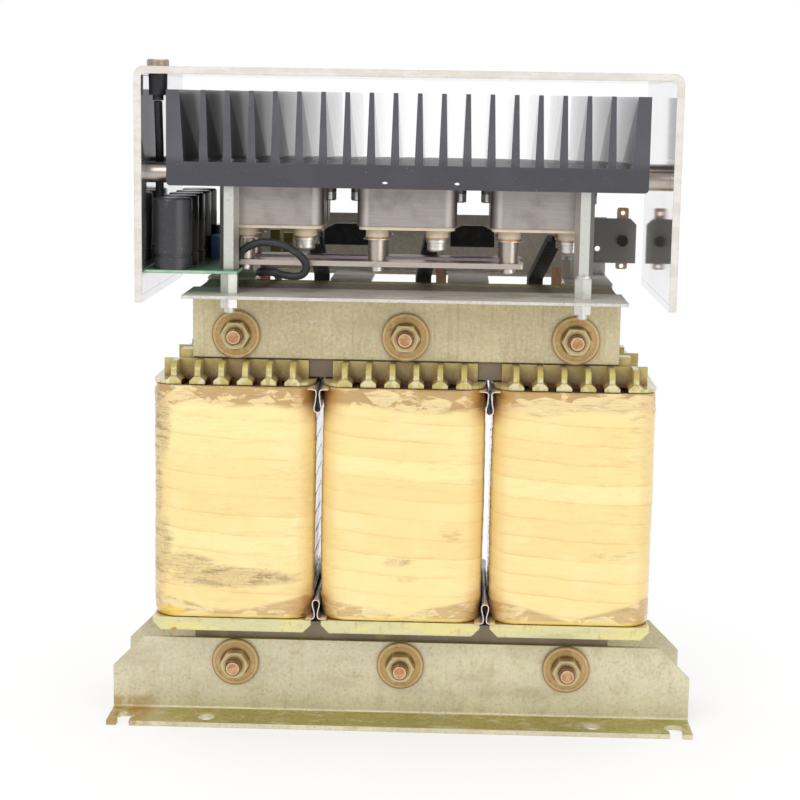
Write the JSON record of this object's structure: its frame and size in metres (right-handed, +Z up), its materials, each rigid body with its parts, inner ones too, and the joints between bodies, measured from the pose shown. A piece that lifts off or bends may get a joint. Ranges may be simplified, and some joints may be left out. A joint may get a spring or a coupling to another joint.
{
  "type": "dry type transformer",
  "caption": "Open dry type transformer with taped coils on a laminated core, folded clamps as feet, and a covered rectifier tray with a finned heat sink on top.",
  "frame": {"origin": "on the floor, in the middle of the four round base holes", "axes": "+X to the right and +Y to the back as seen from the front, +Z up"},
  "size_m": [0.2934, 0.1519, 0.3294],
  "materials": {
    "core_steel": "oiled laminations, grey-brown",
    "clamp_zinc": "yellow zinc, mottled",
    "stud_zinc": "yellow zinc",
    "insulating_tube": "varnished paper",
    "bobbin_plastic": "moulded, with a coat of varnish",
    "winding_wire": "enamelled copper under dark varnish",
    "tape_wrap": "cream adhesive tape, satin",
    "barrier_film": "clear grey film",
    "galvanised": "galvanised, spangled",
    "terminal_board": "dark grey laminate",
    "spade": "copper alloy",
    "rivet": "bare",
    "pillar_nickel": "nickel plated",
    "small_hardware": "bright zinc",
    "board_green": "green solder mask",
    "can_sleeve": "black sleeve",
    "film_capacitor": "blue",
    "trimmer": "yellow",
    "lead_socket": "black",
    "sink_anodised": "dark grey anodised extrusion",
    "module_case": "brushed shell",
    "module_lid": "cream resin",
    "terminal_ring": "bare copper",
    "busbar": "tinned copper",
    "strap_sleeve": "black sleeve",
    "cover_steel": "bright sheet with pale edges",
    "spacer": "turned",
    "lamp_cap": "polished",
    "lamp_boot": "black",
    "lead_cover": "black"
  },
  "bodies": {
    "root": {"barrier_films": "barrier_film", "board_cans": "can_sleeve", "bobbin_left": "bobbin_plastic", "bobbin_middle": "bobbin_plastic", "bobbin_right": "bobbin_plastic", "busbar_screws": "small_hardware", "busbar_standoffs": "pillar_nickel", "control_board": "board_green", "core_limb_stack": "core_steel", "core_studs": "stud_zinc", "core_upper_yoke": "core_steel", "cover": "cover_steel", "cover_screws": "small_hardware", "cover_spacers": "spacer", "film_capacitor": "film_capacitor", "front_busbar": "busbar", "front_support_strip": "galvanised", "heat_sink": "sink_anodised", "lamp_bezel": "lamp_cap", "lamp_boot": "lamp_boot", "lamp_lead": "lead_cover", "lead_sockets": "lead_socket", "loop_lead": "lead_cover", "lower_front_clamp": "clamp_zinc", "lower_pillars": "pillar_nickel", "lower_rear_clamp": "clamp_zinc", "lug_screws": "small_hardware", "module_case_left": "module_case", "module_case_middle": "module_case", "module_case_right": "module_case", "module_lid_left": "module_lid", "module_lid_middle": "module_lid", "module_lid_right": "module_lid", "module_screws": "small_hardware", "module_spring_washers": "small_hardware", "outer_wrap_left": "tape_wrap", "outer_wrap_middle": "tape_wrap", "outer_wrap_right": "tape_wrap", "pillar_nuts": "small_hardware", "pillar_rings": "pillar_nickel", "pillar_washers": "small_hardware", "primary_windings": "winding_wire", "rear_busbar": "busbar", "rear_support_bracket": "galvanised", "secondary_windings": "winding_wire", "spade_terminal": "spade", "strap_lugs": "terminal_ring", "stud_insulating_tubes": "insulating_tube", "stud_nuts": "stud_zinc", "stud_washers": "stud_zinc", "terminal_board": "terminal_board", "terminal_rings": "terminal_ring", "terminal_rivet": "rivet", "terminal_washers": "small_hardware", "trimmer_blocks": "trimmer", "upper_front_clamp": "clamp_zinc", "upper_pillars": "pillar_nickel", "upper_rear_clamp": "clamp_zinc", "winding_straps": "strap_sleeve", "winding_tails": "terminal_ring"}
  },
  "joints": []
}
